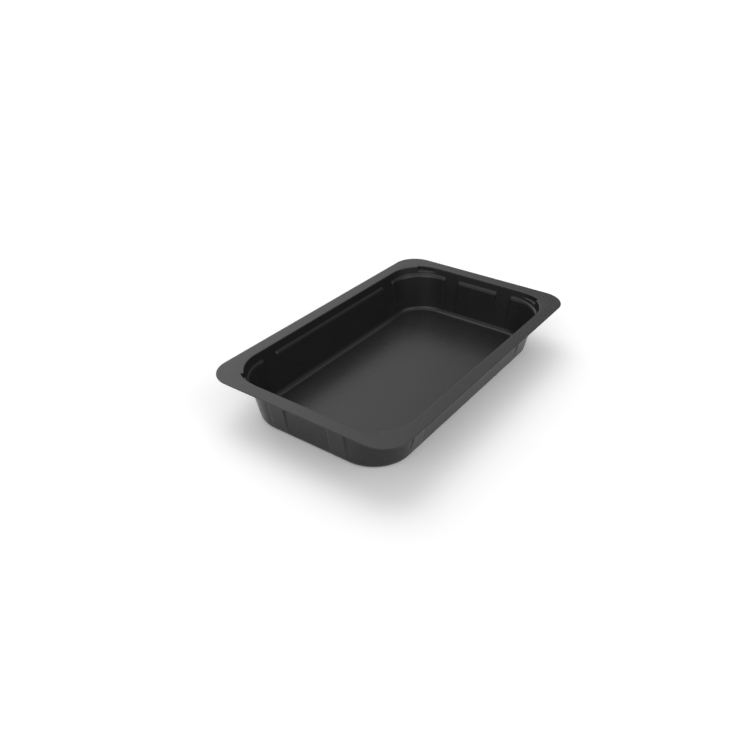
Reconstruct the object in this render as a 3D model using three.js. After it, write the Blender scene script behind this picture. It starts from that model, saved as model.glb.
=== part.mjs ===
// A plastic meal tray, empty: one thin formed shell with a flat rim all round. Its walls slope in
// to a flat floor. A little below the rim they step in, over a rounded ledge, to raised panels, one
// along each side and one round each corner. Between the panels the wall stays back as upright
// grooves, and each corner has a shallow stacking pocket cut back just under the rim.
//
// Millimetres, +Z up. The origin is on the surface that the tray stands on, under the tray's centre.
// X runs along the tray and Y across it, and the tray is the same on both sides of each.
import * as THREE from "three";
import { LoftGeometry } from "three/addons/geometries/LoftGeometry.js";
import { mergeVertices } from "three/addons/utils/BufferGeometryUtils.js";

// Driving dimensions.
const WALL = 0.8; // thickness of the shell
const DEPTH = 38.5; // from the rim's top down to the floor inside
const RIM = { length: 265, width: 161.2, corner: 20.5 }; // outer edge of the rim
const OPENING = { length: 243.3, width: 140.3, corner: 31 }; // where wall and rim would meet, unrounded
const FOOT = { length: 227.5, width: 123.5, corner: 29 }; // where wall and floor would meet, unrounded
const FLOOR_FILLET = 4.35;
const RIM_FILLET = 1.1;
const RIM_EDGE = 0.25; // how far the rim's outer edge is rounded

const LEDGE_DROP = 6.4; // the rounded ledge's root, below the rim's top
const LEDGE_DEPTH = 2.55; // how far down its round reaches
const PANEL_ROUND = 1.5; // radius of the panels' upright edges, and how far the panels stand in
const GROOVE_WIDTH = 13.4;
const GROOVE_ON_END = 26.1; // from the tray's middle to a groove's middle, on the short walls
const GROOVE_ON_SIDE = 77.9; // and on the long walls

const POCKET = {
  drop: 3.8, // below the rim's top
  reach: 2.2, // out from the wall, at the rim
  spread: 10.7, // the depth over which its wall leans out by as much again, which sets it upright
  rise: 0.8, // of the sill, from the wall to its back
};
const POCKET_ANGLES = { shallow: 10, deep: 39, shut: 40.5 }; // degrees round the corner from the short wall

// How finely the round stretches are stepped.
const FLOOR_FILLET_STEPS = 4;
const ROUND_STEPS = 3; // of the ledge and of a panel's upright edges
const RIM_FILLET_STEPS = 2;
const CORNER_ANGLES = [7, 17.5, 25, 32.5, 48, 57, 66, 75, 83]; // with the pocket's own angles between them

const { degToRad, lerp, clamp } = THREE.MathUtils;
const QUARTER_TURN = Math.PI / 2;

// Numbers from first to last in equal steps.
function steps(first, last, count) {
  return Array.from({ length: count + 1 }, (_, i) => lerp(first, last, i / count));
}

// The rounded rectangle a share of the way up the wall, from the foot to the opening.
function wallOutline(share) {
  return {
    length: lerp(FOOT.length, OPENING.length, share),
    width: lerp(FOOT.width, OPENING.width, share),
    corner: lerp(FOOT.corner, OPENING.corner, share),
  };
}

// The point of a rounded rectangle at a station of the quarter where X and Y are positive, and the
// outward direction there. A station is a distance y across a short wall, an angle round the corner
// from the short wall, or a distance x along a long wall.
function onOutline({ length, width, corner }, { y, angle, x }) {
  const centre = new THREE.Vector2(length / 2 - corner, width / 2 - corner);
  let turn = angle;
  if (y !== undefined) turn = Math.asin(clamp((y - centre.y) / corner, 0, 1));
  if (x !== undefined) turn = Math.acos(clamp((x - centre.x) / corner, 0, 1));
  const outward = new THREE.Vector2(Math.cos(turn), Math.sin(turn));
  const point = centre.addScaledVector(outward, corner);
  if (y !== undefined) point.y = y;
  if (x !== undefined) point.x = x;
  return { point, outward };
}

// Distances from a panel's edge that step its rounded edge from the groove up to the panel's face.
const edgeDistances = steps(0, QUARTER_TURN, ROUND_STEPS).map((turn) => PANEL_ROUND * (1 - Math.cos(turn)));

// Stations on both edges of a groove, outwards from the tray's middle.
function grooveStations(middle, axis) {
  const inner = edgeDistances.map((d) => middle - GROOVE_WIDTH / 2 - d).reverse();
  const outer = edgeDistances.map((d) => middle + GROOVE_WIDTH / 2 + d);
  return [...inner, ...outer].map((distance) => ({ [axis]: distance }));
}

// How far a station lies inside a panel: 0 in a groove, and endless round the corner.
function intoPanel({ y, angle, x }) {
  if (angle !== undefined) return Infinity;
  const fromMiddle = y !== undefined ? Math.abs(y - GROOVE_ON_END) : Math.abs(x - GROOVE_ON_SIDE);
  return Math.max(0, fromMiddle - GROOVE_WIDTH / 2);
}

// How far a pocket's wall lies behind the tray's: it grows evenly along the corner and ends abruptly.
function pocketReach({ angle }) {
  const { shallow, deep } = POCKET_ANGLES;
  if (angle === undefined || angle > degToRad(deep)) return 0;
  const share = (angle - degToRad(shallow)) / (degToRad(deep) - degToRad(shallow));
  return POCKET.reach * clamp(share, 0, 1);
}

const cornerStations = [...CORNER_ANGLES, ...Object.values(POCKET_ANGLES)]
  .sort((a, b) => a - b)
  .map((angle) => ({ angle: degToRad(angle) }));

// The stations of one quarter, from the middle of a short wall round to the middle of a long one, each
// with the wall's slope from the upright there, its depth into a panel and the pocket's reach.
const stations = [
  ...grooveStations(GROOVE_ON_END, "y"),
  ...cornerStations,
  ...grooveStations(GROOVE_ON_SIDE, "x").reverse(),
].map((place) => {
  const top = onOutline(OPENING, place);
  const foot = onOutline(FOOT, place);
  const draft = Math.atan(top.point.sub(foot.point).dot(foot.outward) / DEPTH);
  return {
    ...place,
    draft,
    intoPanel: intoPanel(place),
    pocket: pocketReach(place),
  };
});

// A point of the inside face: a height above the floor, and a distance out from the plain sloping wall.
function wallPoint(station, height, out) {
  const { point, outward } = onOutline(wallOutline(height / DEPTH), station);
  point.addScaledVector(outward, out);
  return new THREE.Vector3(point.x, point.y, WALL + height);
}

// The fillet between floor and wall, at a share of the way round it from the floor.
function floorFilletPoint(share) {
  return (station) => {
    const turn = (QUARTER_TURN - station.draft) * share;
    const height = FLOOR_FILLET * (1 - Math.cos(turn));
    const start = FLOOR_FILLET * Math.tan((QUARTER_TURN - station.draft) / 2);
    const out = FLOOR_FILLET * Math.sin(turn) - start - height * Math.tan(station.draft);
    return wallPoint(station, height, out);
  };
}

// The rounded ledge over the panels, at an angle from its root, where it leaves the wall, down to the
// panel's face. A panel's upright edges have much the same round, so that its top corners are balls.
function ledgePoint(turn) {
  return (station) => {
    const height = DEPTH - LEDGE_DROP - LEDGE_DEPTH * (1 - Math.cos(turn));
    const ledge = PANEL_ROUND * Math.sin(turn);
    const edge = Math.max(0, PANEL_ROUND - station.intoPanel);
    return wallPoint(station, height, -Math.sqrt(Math.max(0, ledge ** 2 - edge ** 2)));
  };
}

// The corner pocket's sill, from the tray's wall back to the foot of the pocket's own wall.
const pocketSill = (station) => wallPoint(station, DEPTH - POCKET.drop, 0);
function pocketFoot(station) {
  const below = POCKET.drop - POCKET.rise;
  return wallPoint(station, DEPTH - below, station.pocket * (1 + below / POCKET.spread));
}

// The fillet from wall to rim, at a share of the way round it from the wall.
function rimFilletPoint(share) {
  return (station) => {
    const draft = Math.atan(Math.tan(station.draft) - station.pocket / POCKET.spread);
    const turn = lerp(draft, QUARTER_TURN, share);
    const below = RIM_FILLET * (1 - Math.sin(turn));
    const run = RIM_FILLET * (Math.tan((QUARTER_TURN - draft) / 2) - Math.cos(turn));
    return wallPoint(station, DEPTH - below, run + below * Math.tan(station.draft) + station.pocket);
  };
}

// A point of the rim's outer edge, a distance in from its outline and another below its top.
function rimPoint(inset, below) {
  return (station) => {
    const { point, outward } = onOutline(RIM, station);
    point.addScaledVector(outward, -inset);
    return new THREE.Vector3(point.x, point.y, WALL + DEPTH - below);
  };
}

// A closed ring of points round the tray, from one row's rule and its mirror images. It runs clockwise
// seen from above, so that a loft which climbs the wall has its faces towards the tray's inside.
function ring(pointAt) {
  const quarter = stations.map(pointAt);
  const backwards = quarter.slice().reverse();
  const mirrored = (points, along, across) =>
    points.map((point) => new THREE.Vector3(point.x * along, point.y * across, point.z));
  return [
    ...backwards,
    ...mirrored(quarter, 1, -1),
    ...mirrored(backwards, -1, -1),
    ...mirrored(quarter, -1, 1),
  ];
}

// The upper face, from the middle of the floor, where the ring has shrunk to a point, up the wall and
// out to the edge of the rim.
const upperRings = [
  ring(() => new THREE.Vector3(0, 0, WALL)),
  ...steps(0, 1, FLOOR_FILLET_STEPS).map((share) => ring(floorFilletPoint(share))),
  ...steps(QUARTER_TURN, 0, ROUND_STEPS).map((turn) => ring(ledgePoint(turn))),
  ring(pocketSill),
  ring(pocketFoot),
  ...steps(0, 1, RIM_FILLET_STEPS).map((share) => ring(rimFilletPoint(share))),
  ring(rimPoint(RIM_EDGE, 0)),
];

// The rim's rounded outer edge.
const edgeRings = [ring(rimPoint(0, RIM_EDGE)), ring(rimPoint(0, WALL - RIM_EDGE))];

// The lower face follows the upper one at the shell's thickness, measured square to it.
const upperNormals = new LoftGeometry(upperRings).getAttribute("normal");
const lowerRings = upperRings
  .map((points, row) =>
    points.map((point, column) => {
      const index = row * (points.length + 1) + column;
      const normal = new THREE.Vector3().fromBufferAttribute(upperNormals, index);
      return point.clone().addScaledVector(normal, -WALL);
    }),
  )
  .reverse();

// The whole shell as one closed surface.
function trayGeometry() {
  const loft = new LoftGeometry([...upperRings, ...edgeRings, ...lowerRings]);
  const surface = new THREE.BufferGeometry();
  surface.setIndex(loft.index);
  surface.setAttribute("position", loft.getAttribute("position"));
  const shell = mergeVertices(surface);
  shell.computeVertexNormals();
  return shell;
}

const blackPlastic = new THREE.MeshStandardMaterial({ color: 0x1b1b1c, roughness: 0.45, metalness: 0 });

const tray = new THREE.Mesh(trayGeometry(), blackPlastic);
tray.name = "tray";

const mealTray = new THREE.Group();
mealTray.add(tray);

export default mealTray;
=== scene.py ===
"""An empty black plastic meal tray on a pale studio floor.

Metres, +Z up. The origin is on the surface that the tray stands on, under the middle of the tray. X runs
along the tray and Y across it, and the tray is the same on both sides of each.
"""

import logging
import math
from dataclasses import dataclass
from enum import Enum
from functools import partial
from typing import Callable

import bmesh
import bpy
from bmesh.types import BMesh
from mathutils import Matrix, Vector


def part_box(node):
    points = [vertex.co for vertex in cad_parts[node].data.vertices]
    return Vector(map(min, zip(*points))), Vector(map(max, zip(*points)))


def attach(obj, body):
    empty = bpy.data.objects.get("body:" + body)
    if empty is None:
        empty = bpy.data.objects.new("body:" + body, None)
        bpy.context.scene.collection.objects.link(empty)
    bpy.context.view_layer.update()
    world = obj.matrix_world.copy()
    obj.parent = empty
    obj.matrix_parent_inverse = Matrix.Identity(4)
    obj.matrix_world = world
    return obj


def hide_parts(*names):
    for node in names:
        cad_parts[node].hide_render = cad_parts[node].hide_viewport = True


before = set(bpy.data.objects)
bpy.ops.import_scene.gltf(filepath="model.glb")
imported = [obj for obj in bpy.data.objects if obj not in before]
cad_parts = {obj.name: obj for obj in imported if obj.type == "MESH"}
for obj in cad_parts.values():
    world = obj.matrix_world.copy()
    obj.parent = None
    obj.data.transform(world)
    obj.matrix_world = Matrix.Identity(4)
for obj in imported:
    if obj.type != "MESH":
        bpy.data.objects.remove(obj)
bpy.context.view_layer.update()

MM = 0.001
MICRON = 0.000001
QUARTER_TURN = math.pi / 2

log = logging.getLogger("meal_tray")


def steps(first: float, last: float, count: int) -> list[float]:
    """Numbers from first to last in equal steps.

    Args:
        first: the first number.
        last: the last number.
        count: how many steps lie between them.

    Returns:
        The count + 1 numbers.
    """
    return [first + (last - first) * i / count for i in range(count + 1)]


# The tray's shape


class Stretch(Enum):
    """The stretches of a quarter of the tray's outline."""

    SHORT_WALL = "a distance across a short wall"
    CORNER = "an angle round the corner, from the short wall"
    LONG_WALL = "a distance along a long wall"


@dataclass(frozen=True)
class Station:
    """A place on the way round a quarter of the tray.

    Attributes:
        stretch: the stretch that it is on, which says what its places are measured in.
        foot: its place at the foot of the wall.
        top: its place at the top of the wall.
        into_panel: how far it lies inside a panel's upright edge, or below 0 in a groove.
        pocket: how far a stacking pocket's wall lies behind the tray's wall.
        turned: the angle by which the pocket's wall is turned from the tray's.
    """

    stretch: Stretch
    foot: float
    top: float
    into_panel: float = math.inf
    pocket: float = 0.0
    turned: float = 0.0

    def place(self, share: float) -> float:
        """The place a share of the way up the wall."""
        return self.foot + (self.top - self.foot) * share


@dataclass(frozen=True)
class Outline:
    """A rounded rectangle round the tray's middle.

    Attributes:
        length: its size along X.
        width: its size along Y.
        corner: its corners' radius.
    """

    length: float
    width: float
    corner: float

    def mixed(self, other: "Outline", share: float) -> "Outline":
        """The outline part of the way to another one.

        Args:
            other: the other outline.
            share: how far towards it, from 0 at this one to 1 at the other.

        Returns:
            The outline between them.
        """
        mine = (self.length, self.width, self.corner)
        theirs = (other.length, other.width, other.corner)
        return Outline(*(a + (b - a) * share for a, b in zip(mine, theirs)))

    def point(self, station: Station, share: float) -> tuple[Vector, Vector]:
        """The outline's point at a station of the quarter where X and Y are positive.

        Args:
            station: the station.
            share: how far up the wall the outline lies, from 0 at the foot to 1 at the top.

        Returns:
            The point, and the outward direction there, both level.
        """
        place = station.place(share)
        centre = Vector((self.length / 2 - self.corner, self.width / 2 - self.corner, 0))
        turn = place
        if station.stretch is Stretch.SHORT_WALL:
            turn = math.asin(min(max((place - centre.y) / self.corner, 0), 1))
        elif station.stretch is Stretch.LONG_WALL:
            turn = math.acos(min(max((place - centre.x) / self.corner, 0), 1))
        outward = Vector((math.cos(turn), math.sin(turn), 0))
        point = centre + outward * self.corner
        if station.stretch is Stretch.SHORT_WALL:
            point.y = place
        elif station.stretch is Stretch.LONG_WALL:
            point.x = place
        return point, outward


@dataclass(frozen=True)
class PanelEdge:
    """The rounded edge of a raised panel, with a small cove where it leaves the wall.

    Attributes:
        height: radius of the round, which is also how far the panel stands in from the wall.
        ledge_stretch: how many times deeper the round is at the ledge, where it is an ellipse's.
        cove: radius of the cove at its root.
        cove_steps: how finely the cove is stepped.
        round_steps: how finely the round is stepped.
    """

    height: float = 1.5 * MM
    ledge_stretch: float = 1.7
    cove: float = 0.6 * MM
    cove_steps: int = 4
    round_steps: int = 9

    @property
    def cove_start(self) -> float:
        """Where the cove leaves the wall, as a distance inside the edge, which is below 0."""
        return self.height - math.sqrt(self.height**2 + 2 * self.height * self.cove)

    @property
    def meeting(self) -> float:
        """The angle on the round at which the cove meets it."""
        return math.asin(self.cove / (self.height + self.cove))

    @property
    def ledge_depth(self) -> float:
        """How far down the ledge's round reaches."""
        return self.height * self.ledge_stretch

    def distances(self) -> list[float]:
        """Steps the edge evenly, from the wall to the panel's face.

        Returns:
            How far inside the edge each step lies, from below 0 where the cove starts.
        """
        cove = [
            self.cove_start + self.cove * math.sin(turn)
            for turn in steps(0, QUARTER_TURN - self.meeting, self.cove_steps)
        ]
        rounded = [
            self.height * (1 - math.cos(turn))
            for turn in steps(self.meeting, QUARTER_TURN, self.round_steps)
        ]
        return cove + rounded[1:]

    def standing(self, along: float, below: float) -> float:
        """How far the surface stands in from the wall.

        Args:
            along: the distance inside the panel's upright edge.
            below: the distance below the panel's ledge.

        Returns:
            The distance in from the wall, from 0 outside the panel to the panel's height.
        """
        short = (max(0, self.height - along), max(0, self.height - below / self.ledge_stretch))
        inside = self.height - math.hypot(*short)
        if inside <= self.cove_start:
            return 0.0
        if inside < self.height * (1 - math.cos(self.meeting)):
            return self.cove - math.sqrt(max(0, self.cove**2 - (inside - self.cove_start) ** 2))
        return math.sqrt(max(0, self.height**2 - (self.height - inside) ** 2))


@dataclass(frozen=True)
class Step:
    """A step back in the wall: a rounded lip, a flat if there is room for it, and a cove.

    Attributes:
        lip: radius of the lip.
        cove: radius of the cove.
        steepest: the angle by which the flat turns away from the wall.
        arc_steps: how finely the lip and the cove are stepped.
    """

    lip: float
    cove: float
    steepest: float = math.radians(75)
    arc_steps: int = 6

    def section(self, reach: float) -> list[tuple[float, float, float]]:
        """The points of the step's section.

        Args:
            reach: how far it steps back in all.

        Returns:
            From the lip to the cove, how far each point lies past the lip's end, how far behind the wall,
            and by what angle the surface is turned from the wall there.
        """
        radii = self.lip + self.cove
        turn = min(self.steepest, math.acos(max(-1, 1 - reach / radii)))
        flat = (reach - radii * (1 - math.cos(turn))) / math.tan(turn) if turn == self.steepest else 0
        lip = [
            (self.lip * (math.sin(a) - math.sin(turn)), self.lip * (1 - math.cos(a)), a)
            for a in steps(0, turn, self.arc_steps)
        ]
        cove = [
            (flat + self.cove * (math.sin(turn) - math.sin(a)), reach - self.cove * (1 - math.cos(a)), a)
            for a in steps(turn, 0, self.arc_steps)
        ]
        return lip + cove


@dataclass(frozen=True)
class Pocket:
    """A stacking pocket, cut back into the wall just under the rim in one half of each corner.

    Attributes:
        drop: how far its sill lies below the rim's top.
        reach: how far back it goes at its deep end, at the rim.
        spread: the depth over which its wall leans back by as much again.
        shallow: the angle round the corner where it starts to grow.
        deep: the angle where it ends in an upright step.
        sill: the section of its sill.
        end: the section of the upright step at its deep end.
    """

    drop: float = 3.8 * MM
    reach: float = 2.2 * MM
    spread: float = 10.7 * MM
    shallow: float = math.radians(10)
    deep: float = math.radians(39.75)
    sill: Step = Step(lip=0.85 * MM, cove=0.3 * MM, steepest=math.radians(86))
    end: Step = Step(lip=1.4 * MM, cove=0.5 * MM)

    def stations(self, spacing: float, radius: float) -> list[Station]:
        """The stations along it.

        Args:
            spacing: the angle between stations, at most.
            radius: the corner's radius.

        Returns:
            The stations from its shallow end to past its deep one.
        """
        upright = []
        for past, back, turned in reversed(self.end.section(self.reach)):
            angle = self.deep - past / radius
            upright.append(Station(Stretch.CORNER, angle, angle, pocket=back, turned=turned))
        length = upright[0].top - self.shallow
        angles = steps(self.shallow, upright[0].top, math.ceil(length / spacing))[:-1]
        along = [
            Station(Stretch.CORNER, angle, angle, pocket=self.reach * (angle - self.shallow) / length)
            for angle in angles
        ]
        return along + upright


# A rule that gives a row's point at a station.
Row = Callable[[Station], Vector]


@dataclass
class MealTray:
    """The tray: one formed shell, modelled as a quarter of its upper face and then mirrored.

    Attributes:
        box: the lowest and the highest corner of the tray.
        wall: thickness of the shell.
        rim_corner: radius of the rim's corners.
        opening: where the wall and the rim would meet if they weren't rounded.
        foot: where the wall and the floor would meet if they weren't rounded.
        floor_fillet: radius between floor and wall.
        rim_fillet: radius between wall and rim.
        rim_edge: radius of the rim's cut edge.
        ledge_drop: how far the ledge's root lies below the rim's top.
        panel_edge: the section of the ledge and of the panels' upright edges.
        groove_width: width of the grooves between the panels.
        groove_on_end: from the tray's middle to a groove's middle, on the short walls.
        groove_on_side: the same on the long walls.
        pocket: the stacking pocket.
        floor_fillet_steps: how finely the floor's fillet is stepped.
        rim_fillet_steps: how finely the rim's is.
        rim_edge_steps: how finely the round of its cut edge is.
        panel_steps: how finely the panels' faces are stepped up the wall.
        end_steps: how finely the middle of a short wall's panel is stepped across.
        end_middle: how far out that middle reaches, as a share of the way to the groove.
        side_steps: how finely the middle of a long wall's panel is stepped along.
        side_middle: how far out that middle reaches, as a share of the way to the groove.
        lead_steps: how finely the corner is stepped before the pocket starts.
        first_angle: the angle next to either wall from which corner stations are radial.
        spacing: the angle between corner stations, at most.
        guard: the distance at which an extra line of points guards a flat beside a round.
        easing_reach: how far from a pocket's deep end the lower face is smoothed.
        easing_rounds: how many times it is smoothed.
        easing: how far a point moves each time, as a share of the way to its neighbours' middle.
    """

    box: tuple[Vector, Vector]
    wall: float = 0.8 * MM
    rim_corner: float = 20.5 * MM
    opening: Outline = Outline(243.3 * MM, 140.3 * MM, 31 * MM)
    foot: Outline = Outline(227.5 * MM, 123.5 * MM, 29 * MM)
    floor_fillet: float = 4.35 * MM
    rim_fillet: float = 0.85 * MM
    rim_edge: float = 0.25 * MM
    ledge_drop: float = 6.4 * MM
    panel_edge: PanelEdge = PanelEdge()
    groove_width: float = 13.4 * MM
    groove_on_end: float = 26.1 * MM
    groove_on_side: float = 77.9 * MM
    pocket: Pocket = Pocket()
    floor_fillet_steps: int = 10
    rim_fillet_steps: int = 8
    rim_edge_steps: int = 4
    panel_steps: int = 8
    end_steps: int = 2
    end_middle: float = 0.5
    side_steps: int = 6
    side_middle: float = 0.75
    lead_steps: int = 2
    first_angle: float = math.radians(7)
    spacing: float = math.radians(2.5)
    guard: float = 0.4 * MM
    easing_reach: float = 3 * MM
    easing_rounds: int = 6
    easing: float = 0.5

    def __post_init__(self) -> None:
        """Works out the rim and the depth from the box."""
        low, high = self.box
        self.rim = Outline(high.x - low.x, high.y - low.y, self.rim_corner)
        self.depth = high.z - low.z - self.wall

    def groove_stations(self, stretch: Stretch, middle: float) -> list[Station]:
        """The stations of a groove, from the panel on one side to the panel on the other.

        Args:
            stretch: the wall that it is in.
            middle: the distance from the tray's middle to the groove's.

        Returns:
            The stations, outwards.
        """
        edge = self.panel_edge
        distances = edge.distances()
        distances = [distances[0] - self.guard, *distances, distances[-1] + self.guard]
        half = self.groove_width / 2
        inner = [(middle - half - d, d) for d in reversed(distances)]
        outer = [(middle + half + d, d) for d in distances]
        groove = [*inner, (middle, -half), *outer]
        return [Station(stretch, place, place, into_panel=d) for place, d in groove]

    def corner_start(self, stretch: Stretch, last: Station) -> list[Station]:
        """The stations between a wall's last one and the first radial one of the corner.

        Args:
            stretch: the wall.
            last: the last station of the wall.

        Returns:
            The stations in order away from the wall. Each is at one angle at the foot of the wall and at
            another at its top, because the corner starts further out there.
        """
        short = stretch is Stretch.SHORT_WALL
        half = (self.foot.width if short else self.foot.length) / 2
        start = math.asin((last.foot - half + self.foot.corner) / self.foot.corner)
        count = round(self.first_angle / self.spacing)
        tops = steps(0, self.first_angle, count)[:-1]
        feet = steps(start, self.first_angle, count + 1)[1:-1]
        if not short:
            feet = [QUARTER_TURN - angle for angle in feet]
            tops = [QUARTER_TURN - angle for angle in tops]
        return [Station(Stretch.CORNER, foot, top) for foot, top in zip(feet, tops)]

    def stations(self) -> list[Station]:
        """The stations of one quarter of the tray.

        Returns:
            The stations, from the middle of a short wall to the middle of a long one.
        """
        across = steps(0, self.groove_on_end * self.end_middle, self.end_steps)
        short_wall = [
            *(Station(Stretch.SHORT_WALL, place, place) for place in across),
            *self.groove_stations(Stretch.SHORT_WALL, self.groove_on_end),
        ]
        along = steps(0, self.groove_on_side * self.side_middle, self.side_steps)
        long_wall = [
            *(Station(Stretch.LONG_WALL, place, place) for place in along),
            *self.groove_stations(Stretch.LONG_WALL, self.groove_on_side),
        ]
        pocket = self.pocket.stations(self.spacing, self.opening.corner)
        last = QUARTER_TURN - self.first_angle
        before = steps(self.first_angle, pocket[0].top, self.lead_steps)[:-1]
        after = steps(pocket[-1].top, last, math.ceil((last - pocket[-1].top) / self.spacing))[1:]
        return [
            *short_wall,
            *self.corner_start(Stretch.SHORT_WALL, short_wall[-1]),
            *(Station(Stretch.CORNER, a, a) for a in before),
            *pocket,
            *(Station(Stretch.CORNER, a, a) for a in after),
            *reversed(self.corner_start(Stretch.LONG_WALL, long_wall[-1])),
            *reversed(long_wall),
        ]

    def draft(self, station: Station) -> float:
        """How far the plain wall leans out at a station.

        Args:
            station: the station.

        Returns:
            The wall's angle from the upright.
        """
        top, _ = self.opening.point(station, 1)
        foot, outward = self.foot.point(station, 0)
        return math.atan((top - foot).dot(outward) / self.depth)

    def wall_point(self, station: Station, height: float, out: float) -> Vector:
        """A point of the upper face.

        Args:
            station: its station.
            height: its height above the floor.
            out: how far out it lies from the plain sloping wall.

        Returns:
            The point.
        """
        share = height / self.depth
        point, outward = self.foot.mixed(self.opening, share).point(station, share)
        point += outward * out
        point.z = self.wall + height
        return point

    def floor_middle(self, _station: Station) -> Vector:
        """The middle of the floor, where all the stations meet."""
        return Vector((0, 0, self.wall))

    def floor_point(self, inset: float, station: Station) -> Vector:
        """The point of the floor at a distance in from where the fillet starts."""
        start = self.floor_fillet * math.tan((QUARTER_TURN - self.draft(station)) / 2)
        return self.wall_point(station, 0, -start - inset)

    def floor_fillet_point(self, share: float, station: Station) -> Vector:
        """A point of the fillet between floor and wall.

        Args:
            share: how far round the fillet it lies, from 0 at the floor to 1 at the wall.
            station: its station.

        Returns:
            The point.
        """
        draft = self.draft(station)
        turn = (QUARTER_TURN - draft) * share
        height = self.floor_fillet * (1 - math.cos(turn))
        start = self.floor_fillet * math.tan((QUARTER_TURN - draft) / 2)
        out = self.floor_fillet * math.sin(turn) - start - height * math.tan(draft)
        return self.wall_point(station, height, out)

    def ledge_point(self, below: float, station: Station) -> Vector:
        """The point at a distance below the ledge's root, over the ledge's cove and its round."""
        standing = self.panel_edge.standing(station.into_panel, below)
        return self.wall_point(station, self.depth - self.ledge_drop - below, -standing)

    def panel_point(self, share: float, station: Station) -> Vector:
        """A point of the panels, which rise straight from the floor's fillet to the ledge.

        Args:
            share: how far up them it lies, from 0 at the fillet to 1 at the ledge.
            station: its station.

        Returns:
            The point.
        """
        foot = self.floor_fillet_point(1, station)
        top = self.ledge_point(self.panel_edge.ledge_depth, station)
        return foot.lerp(top, share)

    def band_point(self, drop: float, station: Station) -> Vector:
        """The point of the plain wall at a distance below the rim's top."""
        return self.wall_point(station, self.depth - drop, 0)

    def pocket_back(self, below: float, station: Station) -> float:
        """How far a pocket's wall lies behind the tray's at a distance below the rim's top."""
        return station.pocket * (1 + below / self.pocket.spread)

    def pocket_sill_point(self, number: int, station: Station) -> Vector:
        """A point of the pocket's sill.

        Args:
            number: its number in the sill's section, counted from the lip.
            station: its station.

        Returns:
            The point.
        """
        drop = self.pocket.drop
        past, back, _ = self.pocket.sill.section(self.pocket_back(drop, station))[number]
        return self.wall_point(station, self.depth - drop + past, back)

    def pocket_wall_point(self, drop: float, station: Station) -> Vector:
        """The same as the plain wall's point, but on the pocket's wall where there is a pocket."""
        return self.wall_point(station, self.depth - drop, self.pocket_back(drop, station))

    def rim_fillet_point(self, share: float, station: Station) -> Vector:
        """A point of the fillet between the wall, or the pocket's wall, and the rim.

        Args:
            share: how far round the fillet it lies, from 0 at the wall to 1 at the rim.
            station: its station.

        Returns:
            The point.
        """
        lean = math.tan(self.draft(station)) - station.pocket / self.pocket.spread
        draft = math.atan(lean * math.cos(station.turned))
        turn = draft + (QUARTER_TURN - draft) * share
        point, outward = self.opening.point(station, 1)
        square = Matrix.Rotation(station.turned, 3, "Z") @ outward
        run = self.rim_fillet * (math.tan((QUARTER_TURN - draft) / 2) - math.cos(turn))
        point += outward * station.pocket + square * run
        point.z = self.wall + self.depth - self.rim_fillet * (1 - math.sin(turn))
        return point

    def rim_point(self, inset: float, station: Station) -> Vector:
        """A point of the rim's flat top.

        Args:
            inset: its distance in from the rim's outer edge.
            station: its station.

        Returns:
            The point.
        """
        point, outward = self.rim.point(station, 1)
        point -= outward * inset
        point.z = self.wall + self.depth
        return point

    def rows(self) -> list[Row]:
        """The rows of the upper face.

        Returns:
            The rows, from the middle of the floor to the outer edge of the rim.
        """
        edge, pocket = self.panel_edge, self.pocket
        near = self.guard / self.depth
        up_panel = [near, *steps(0, 1, self.panel_steps)[1:-1], 1 - near]
        ledge = [distance * edge.ledge_stretch for distance in edge.distances()]
        lip_start = pocket.drop + pocket.sill.lip
        sill_reach = pocket.reach * (1 + pocket.drop / pocket.spread)
        cove_end = pocket.drop - pocket.sill.section(sill_reach)[-1][0]
        rim_width = (self.rim.length - self.opening.length) / 2
        return [
            self.floor_middle,
            partial(self.floor_point, self.guard),
            *(partial(self.floor_fillet_point, share) for share in steps(0, 1, self.floor_fillet_steps)),
            *(partial(self.panel_point, share) for share in up_panel),
            *(partial(self.ledge_point, below) for below in reversed(ledge)),
            partial(self.band_point, self.ledge_drop + ledge[0] - self.guard),
            partial(self.band_point, lip_start + self.guard / 2),
            *(partial(self.pocket_sill_point, number) for number in range(len(pocket.sill.section(0)))),
            partial(self.pocket_wall_point, cove_end - self.guard),
            partial(self.pocket_wall_point, self.rim_fillet + self.guard),
            *(partial(self.rim_fillet_point, share) for share in steps(0, 1, self.rim_fillet_steps)),
            partial(self.rim_point, rim_width - self.rim_fillet - pocket.reach),
            partial(self.rim_point, self.rim_edge + self.guard),
            partial(self.rim_point, 0),
        ]

    def upper_quarter(self) -> BMesh:
        """The quarter of the upper face where X and Y are positive.

        Returns:
            A new mesh: a grid whose columns are the stations and whose rows are the rows.
        """
        rows, stations = self.rows(), self.stations()
        quarter = bmesh.new()
        bmesh.ops.create_grid(quarter, x_segments=len(stations) - 1, y_segments=len(rows) - 1, size=1)
        for vert in quarter.verts:
            column = round((vert.co.x + 1) / 2 * (len(stations) - 1))
            row = round((vert.co.y + 1) / 2 * (len(rows) - 1))
            vert.co = rows[row](stations[column])
        return quarter

    def ease_underside(self, shell: BMesh, underside: list[bmesh.types.BMVert]) -> None:
        """Smooths the lower face behind each pocket's deep end, where the coves are tight for the shell.

        Args:
            shell: the shell.
            underside: the points of its lower face.
        """
        deep = Station(Stretch.CORNER, self.pocket.deep, self.pocket.deep)
        end = self.wall_point(deep, self.depth - self.pocket.drop, 0)
        near = [vert for vert in underside if (Vector(map(abs, vert.co)) - end).length < self.easing_reach]
        for _ in range(self.easing_rounds):
            bmesh.ops.smooth_vert(
                shell, verts=near, factor=self.easing, use_axis_x=True, use_axis_y=True, use_axis_z=True
            )

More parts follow.
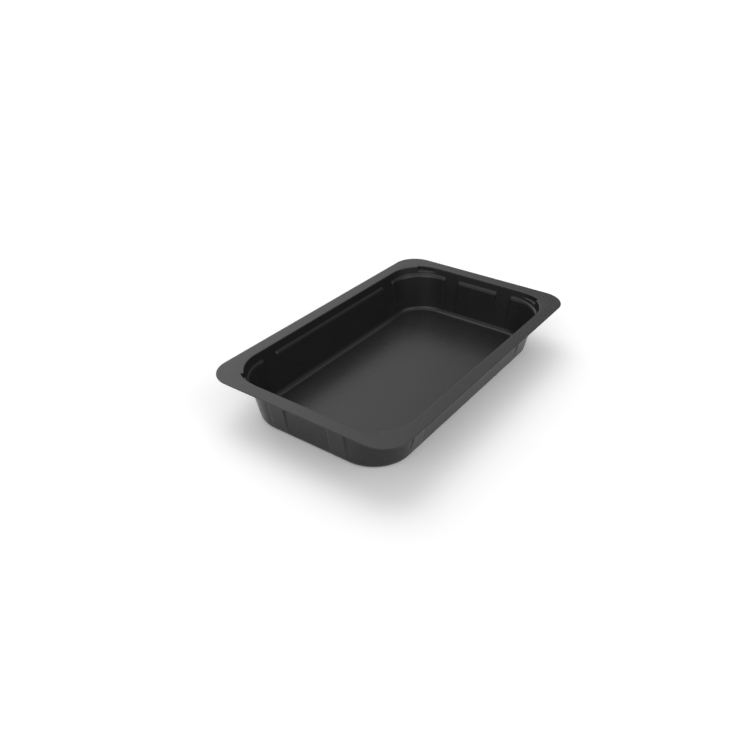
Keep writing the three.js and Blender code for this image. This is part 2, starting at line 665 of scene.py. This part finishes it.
    def mesh(self) -> bpy.types.Mesh:
        """The whole shell.

        Returns:
            The mesh, closed, with its faces outwards and its cut edge rounded.
        """
        merging = 0.5 * MICRON
        shell = self.upper_quarter()
        for axis in "XY":
            everything = [*shell.verts, *shell.edges, *shell.faces]
            bmesh.ops.mirror(shell, geom=everything, axis=axis, merge_dist=merging)
        bmesh.ops.remove_doubles(shell, verts=shell.verts, dist=merging)
        bmesh.ops.recalc_face_normals(shell, faces=shell.faces)
        floor = min(shell.faces, key=lambda face: face.calc_center_median().length)
        if floor.normal.z < 0:
            bmesh.ops.reverse_faces(shell, faces=shell.faces)
        upper = set(shell.verts)
        bmesh.ops.solidify(shell, geom=shell.faces, thickness=self.wall)
        self.ease_underside(shell, [vert for vert in shell.verts if vert not in upper])
        cut = [face for face in shell.faces if 0 < len(upper.intersection(face.verts)) < len(face.verts)]
        sharp = {edge for face in cut for edge in face.edges if edge.calc_face_angle(0) > QUARTER_TURN / 2}
        bmesh.ops.bevel(
            shell,
            geom=list(sharp),
            offset=self.rim_edge,
            offset_type="OFFSET",
            segments=self.rim_edge_steps,
            profile=0.5,
            affect="EDGES",
            material=-1,
        )
        for face in shell.faces:
            face.smooth = True
        mesh = bpy.data.meshes.new("tray_shell")
        shell.to_mesh(mesh)
        shell.free()
        return mesh

    def build(self, finish: "SatinPlastic") -> bpy.types.Object:
        """Makes the tray, hangs it on the root body and hides the CAD part that it stands in for.

        Args:
            finish: what it is made of.

        Returns:
            The tray's object.
        """
        shell = bpy.data.objects.new("tray_shell", self.mesh())
        bpy.context.scene.collection.objects.link(shell)
        shell.data.materials.append(finish.material())
        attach(shell, "root")
        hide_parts("tray")
        return shell


# Finishes


class Number:
    """A number in a finish that changes over the surface. Python's operators add its Math nodes."""

    def __init__(self, graph: "Graph", socket: bpy.types.NodeSocket) -> None:
        """Wraps the output socket that gives the number."""
        self.graph = graph
        self.socket = socket

    def __add__(self, other: "Number | float") -> "Number":
        """This number and another."""
        return self.graph.maths("ADD", self, other)

    __radd__ = __add__

    def __sub__(self, other: "Number | float") -> "Number":
        """This number less another."""
        return self.graph.maths("SUBTRACT", self, other)

    def __rsub__(self, other: float) -> "Number":
        """A plain number less this one."""
        return self.graph.maths("SUBTRACT", other, self)

    def __mul__(self, other: "Number | float") -> "Number":
        """This number times another."""
        return self.graph.maths("MULTIPLY", self, other)

    __rmul__ = __mul__

    def exp(self) -> "Number":
        """The constant e to the power of this number."""
        return self.graph.maths("EXPONENT", self, 0.0)


Input = Number | bpy.types.NodeSocket | Vector | float | tuple[float, ...]
Colour = tuple[float, float, float]


class Graph:
    """The nodes of one finish, or of the studio's surround."""

    def __init__(self, owner: bpy.types.Material | bpy.types.World) -> None:
        """Starts with no nodes but the output.

        Args:
            owner: the material or the world that the nodes are for.
        """
        owner.use_nodes = True
        self.tree = owner.node_tree
        self.tree.nodes.clear()
        of_world = isinstance(owner, bpy.types.World)
        self.output = self.add("ShaderNodeOutputWorld" if of_world else "ShaderNodeOutputMaterial", {}, {})

    def add(self, kind: str, settings: dict[str, object], inputs: dict[str, Input]) -> bpy.types.Node:
        """Adds a node.

        Args:
            kind: its type.
            settings: its settings, such as a Math node's operation, which are set first.
            inputs: a value or a link for each socket, by the socket's identifier.

        Returns:
            The node.
        """
        node = self.tree.nodes.new(kind)
        for name, value in settings.items():
            setattr(node, name, value)
        sockets = {socket.identifier: socket for socket in node.inputs}
        for identifier, value in inputs.items():
            self.feed(sockets[identifier], value)
        return node

    def feed(self, socket: bpy.types.NodeSocket, value: Input) -> None:
        """Links a socket to a number or another socket, or sets its value.

        Args:
            socket: the socket.
            value: what goes into it.
        """
        if isinstance(value, Number):
            value = value.socket
        if isinstance(value, bpy.types.NodeSocket):
            self.tree.links.new(value, socket)
        else:
            socket.default_value = value

    def maths(self, operation: str, first: Number | float, second: Number | float) -> Number:
        """The result of a Math node."""
        node = self.add("ShaderNodeMath", {"operation": operation}, {"Value": first, "Value_001": second})
        return Number(self, node.outputs[0])

    def position(self) -> bpy.types.NodeSocket:
        """The place on the piece, in metres."""
        return self.add("ShaderNodeTexCoord", {}, {}).outputs["Object"]

    def noise(self, size: float, detail: float) -> Number:
        """Soft noise round 0, nearly all of it between -0.5 and 0.5.

        Args:
            size: the size of its largest features.
            detail: how many finer layers it has.

        Returns:
            The noise.
        """
        inputs = {"Vector": self.position(), "Scale": 1 / size, "Detail": detail}
        node = self.add("ShaderNodeTexNoise", {"noise_dimensions": "3D"}, inputs)
        return Number(self, node.outputs[0]) - 0.5

    def mixed(self, share: Number, first: Colour, second: Colour) -> bpy.types.NodeSocket:
        """Mixes two colours.

        Args:
            share: how far the mix is from the first to the second, from 0 to 1.
            first: the first colour.
            second: the second colour.

        Returns:
            The socket that gives the mix.
        """
        inputs = {"Factor_Float": share, "A_Color": (*first, 1), "B_Color": (*second, 1)}
        node = self.add("ShaderNodeMix", {"data_type": "RGBA"}, inputs)
        return next(socket for socket in node.outputs if socket.identifier == "Result_Color")


@dataclass(frozen=True)
class SatinPlastic:
    """Black plastic sheet as it comes from the forming mould, satin and very slightly uneven.

    Attributes:
        dark: its darkest colour.
        light: its lightest colour.
        ior: its refractive index.
        roughness: its roughness where it is even.
        patch_size: the size of the soft patches in which its gloss and level vary.
        patch_gloss: how far its roughness varies between them.
        patch_height: how far its level varies between them.
        grain_size: the size of the fine grain that the mould leaves.
        grain_shade: how much its colour varies over the grain, where 1 is as much as between the patches.
        grain_gloss: how far its roughness varies over the grain.
        grain_height: how high the grain is.
    """

    dark: Colour = (0.0155, 0.0155, 0.0155)
    light: Colour = (0.0185, 0.0185, 0.0185)
    ior: float = 1.4
    roughness: float = 0.28
    patch_size: float = 28 * MM
    patch_gloss: float = 0.05
    patch_height: float = 25 * MICRON
    grain_size: float = 0.7 * MM
    grain_shade: float = 0.5
    grain_gloss: float = 0.06
    grain_height: float = 3 * MICRON

    def material(self) -> bpy.types.Material:
        """Makes the finish.

        Returns:
            The material.
        """
        material = bpy.data.materials.new("satin_black_plastic")
        graph = Graph(material)
        patches = graph.noise(self.patch_size, detail=2)
        grain = graph.noise(self.grain_size, detail=3)
        level = patches * self.patch_height + grain * self.grain_height
        bump = graph.add("ShaderNodeBump", {}, {"Height": level, "Distance": 1.0, "Strength": 1.0})
        shader = graph.add(
            "ShaderNodeBsdfPrincipled",
            {},
            {
                "Base Color": graph.mixed(patches + grain * self.grain_shade + 0.5, self.dark, self.light),
                "Roughness": patches * self.patch_gloss + grain * self.grain_gloss + self.roughness,
                "IOR": self.ior,
                "Normal": bump.outputs[0],
            },
        )
        graph.feed(graph.output.inputs["Surface"], shader.outputs[0])
        return material


@dataclass(frozen=True)
class PaleFloor:
    """The studio's plain pale floor.

    Attributes:
        dark: its darkest colour.
        light: its lightest colour.
        patch_size: the size of its faint patches.
        roughness: its roughness.
        glow: how brightly it is lit from below.
    """

    dark: Colour = (0.90, 0.90, 0.90)
    light: Colour = (0.93, 0.93, 0.93)
    patch_size: float = 0.3
    roughness: float = 0.9
    glow: float = 0.10

    def material(self) -> bpy.types.Material:
        """Makes the finish.

        Returns:
            The material.
        """
        material = bpy.data.materials.new("pale_floor")
        graph = Graph(material)
        colour = graph.mixed(graph.noise(self.patch_size, detail=1) + 0.5, self.dark, self.light)
        shader = graph.add(
            "ShaderNodeBsdfPrincipled",
            {},
            {
                "Base Color": colour,
                "Roughness": self.roughness,
                "Emission Color": (1, 1, 1, 1),
                "Emission Strength": self.glow,
            },
        )
        graph.feed(graph.output.inputs["Surface"], shader.outputs[0])
        return material


# The studio


@dataclass(frozen=True)
class Glow:
    """A broad soft light in the studio's surround.

    Attributes:
        azimuth: its direction in degrees, from +X towards +Y.
        elevation: its height over the horizon in degrees.
        brightness: its brightness in the middle.
        tightness: how fast it fades away from the middle.
    """

    azimuth: float
    elevation: float
    brightness: float
    tightness: float = 11.0

    @property
    def direction(self) -> Vector:
        """The direction towards its middle."""
        across, up = math.radians(self.azimuth), math.radians(self.elevation)
        return Vector((math.cos(across) * math.cos(up), math.sin(across) * math.cos(up), math.sin(up)))


@dataclass(frozen=True)
class Surround:
    """The soft lights round the tray.

    Attributes:
        glows: the lights: the key over the far long side, three fills round the camera, two low ones
            behind the tray and a faint one past its right-hand end.
        backdrop: how bright the surround looks where the camera sees it over the floor's edge.
    """

    glows: tuple[Glow, ...] = (
        Glow(azimuth=60, elevation=62, brightness=3.15),
        Glow(azimuth=-162, elevation=37, brightness=2.45),
        Glow(azimuth=-90, elevation=37, brightness=2.0),
        Glow(azimuth=150, elevation=14, brightness=0.85),
        Glow(azimuth=60, elevation=14, brightness=1.35),
        Glow(azimuth=30, elevation=14, brightness=0.2),
        Glow(azimuth=-10, elevation=40, brightness=0.3),
    )
    backdrop: float = 1.0

    def build(self) -> bpy.types.World:
        """Lights the scene with them.

        Returns:
            The scene's world.
        """
        world = bpy.data.worlds.new("soft_surround")
        graph = Graph(world)
        towards = graph.add("ShaderNodeTexCoord", {}, {}).outputs["Generated"]
        total = None
        for glow in self.glows:
            inputs = {"Vector": towards, "Vector_001": glow.direction}
            likeness = graph.add("ShaderNodeVectorMath", {"operation": "DOT_PRODUCT"}, inputs)
            light = ((Number(graph, likeness.outputs["Value"]) - 1) * glow.tightness).exp() * glow.brightness
            total = light if total is None else total + light
        seen = Number(graph, graph.add("ShaderNodeLightPath", {}, {}).outputs["Is Camera Ray"])
        shown = total + seen * (self.backdrop - total)
        background = graph.add("ShaderNodeBackground", {}, {"Color": (1, 1, 1, 1), "Strength": shown})
        graph.feed(graph.output.inputs["Surface"], background.outputs[0])
        bpy.context.scene.world = world
        return world


@dataclass
class Studio:
    """The floor, the lights and the camera.

    Attributes:
        floor_size: the floor's size.
        floor_drop: how far the floor lies under the tray, so that the two faces don't coincide.
        surround: the soft lights.
        camera_place: where the camera stands.
        camera_aim: the point at the middle of its picture.
        camera_roll: how far it is turned about its own axis.
        sensor: the width of its sensor in millimetres.
        lens: its focal length in millimetres.
    """

    floor_size: float = 40.0
    floor_drop: float = 0.1 * MM
    surround: Surround = Surround()
    camera_place: tuple[float, float, float] = (-0.42399, -0.27479, 0.31565)
    camera_aim: tuple[float, float, float] = (-0.06325, -0.01944, 0.0393)
    camera_roll: float = math.radians(0.212)
    sensor: float = 36.0
    lens: float = 35.417

    def build_floor(self) -> bpy.types.Object:
        """Lays the floor.

        Returns:
            The floor's object.
        """
        grid = bmesh.new()
        bmesh.ops.create_grid(grid, x_segments=1, y_segments=1, size=self.floor_size / 2)
        bmesh.ops.translate(grid, verts=grid.verts, vec=(0, 0, -self.floor_drop))
        mesh = bpy.data.meshes.new("studio_floor")
        grid.to_mesh(mesh)
        grid.free()
        mesh.materials.append(PaleFloor().material())
        floor = bpy.data.objects.new("studio_floor", mesh)
        bpy.context.scene.collection.objects.link(floor)
        return floor

    def build_camera(self) -> bpy.types.Object:
        """Sets up the camera at the photograph's angle.

        Returns:
            The camera's object.
        """
        data = bpy.data.cameras.new("camera")
        data.sensor_width = self.sensor
        data.lens = self.lens
        camera = bpy.data.objects.new("camera", data)
        look = Vector(self.camera_aim) - Vector(self.camera_place)
        turned = look.to_track_quat("-Z", "Y").to_matrix() @ Matrix.Rotation(self.camera_roll, 3, "Z")
        camera.rotation_euler = turned.to_euler()
        camera.location = self.camera_place
        bpy.context.scene.collection.objects.link(camera)
        bpy.context.scene.camera = camera
        return camera

    def build(self) -> None:
        """Builds it all, with the colours shown as they are."""
        bpy.context.scene.view_settings.view_transform = "Standard"
        self.build_floor()
        self.surround.build()
        self.build_camera()


def main() -> None:
    """Builds the studio and the tray."""
    logging.basicConfig(level=logging.INFO, format="%(name)s: %(message)s")
    Studio().build()
    tray = MealTray(box=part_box("tray")).build(SatinPlastic())
    log.info("%s has %d faces", tray.name, len(tray.data.polygons))
    bpy.context.view_layer.update()


if __name__ == "__main__":
    main()
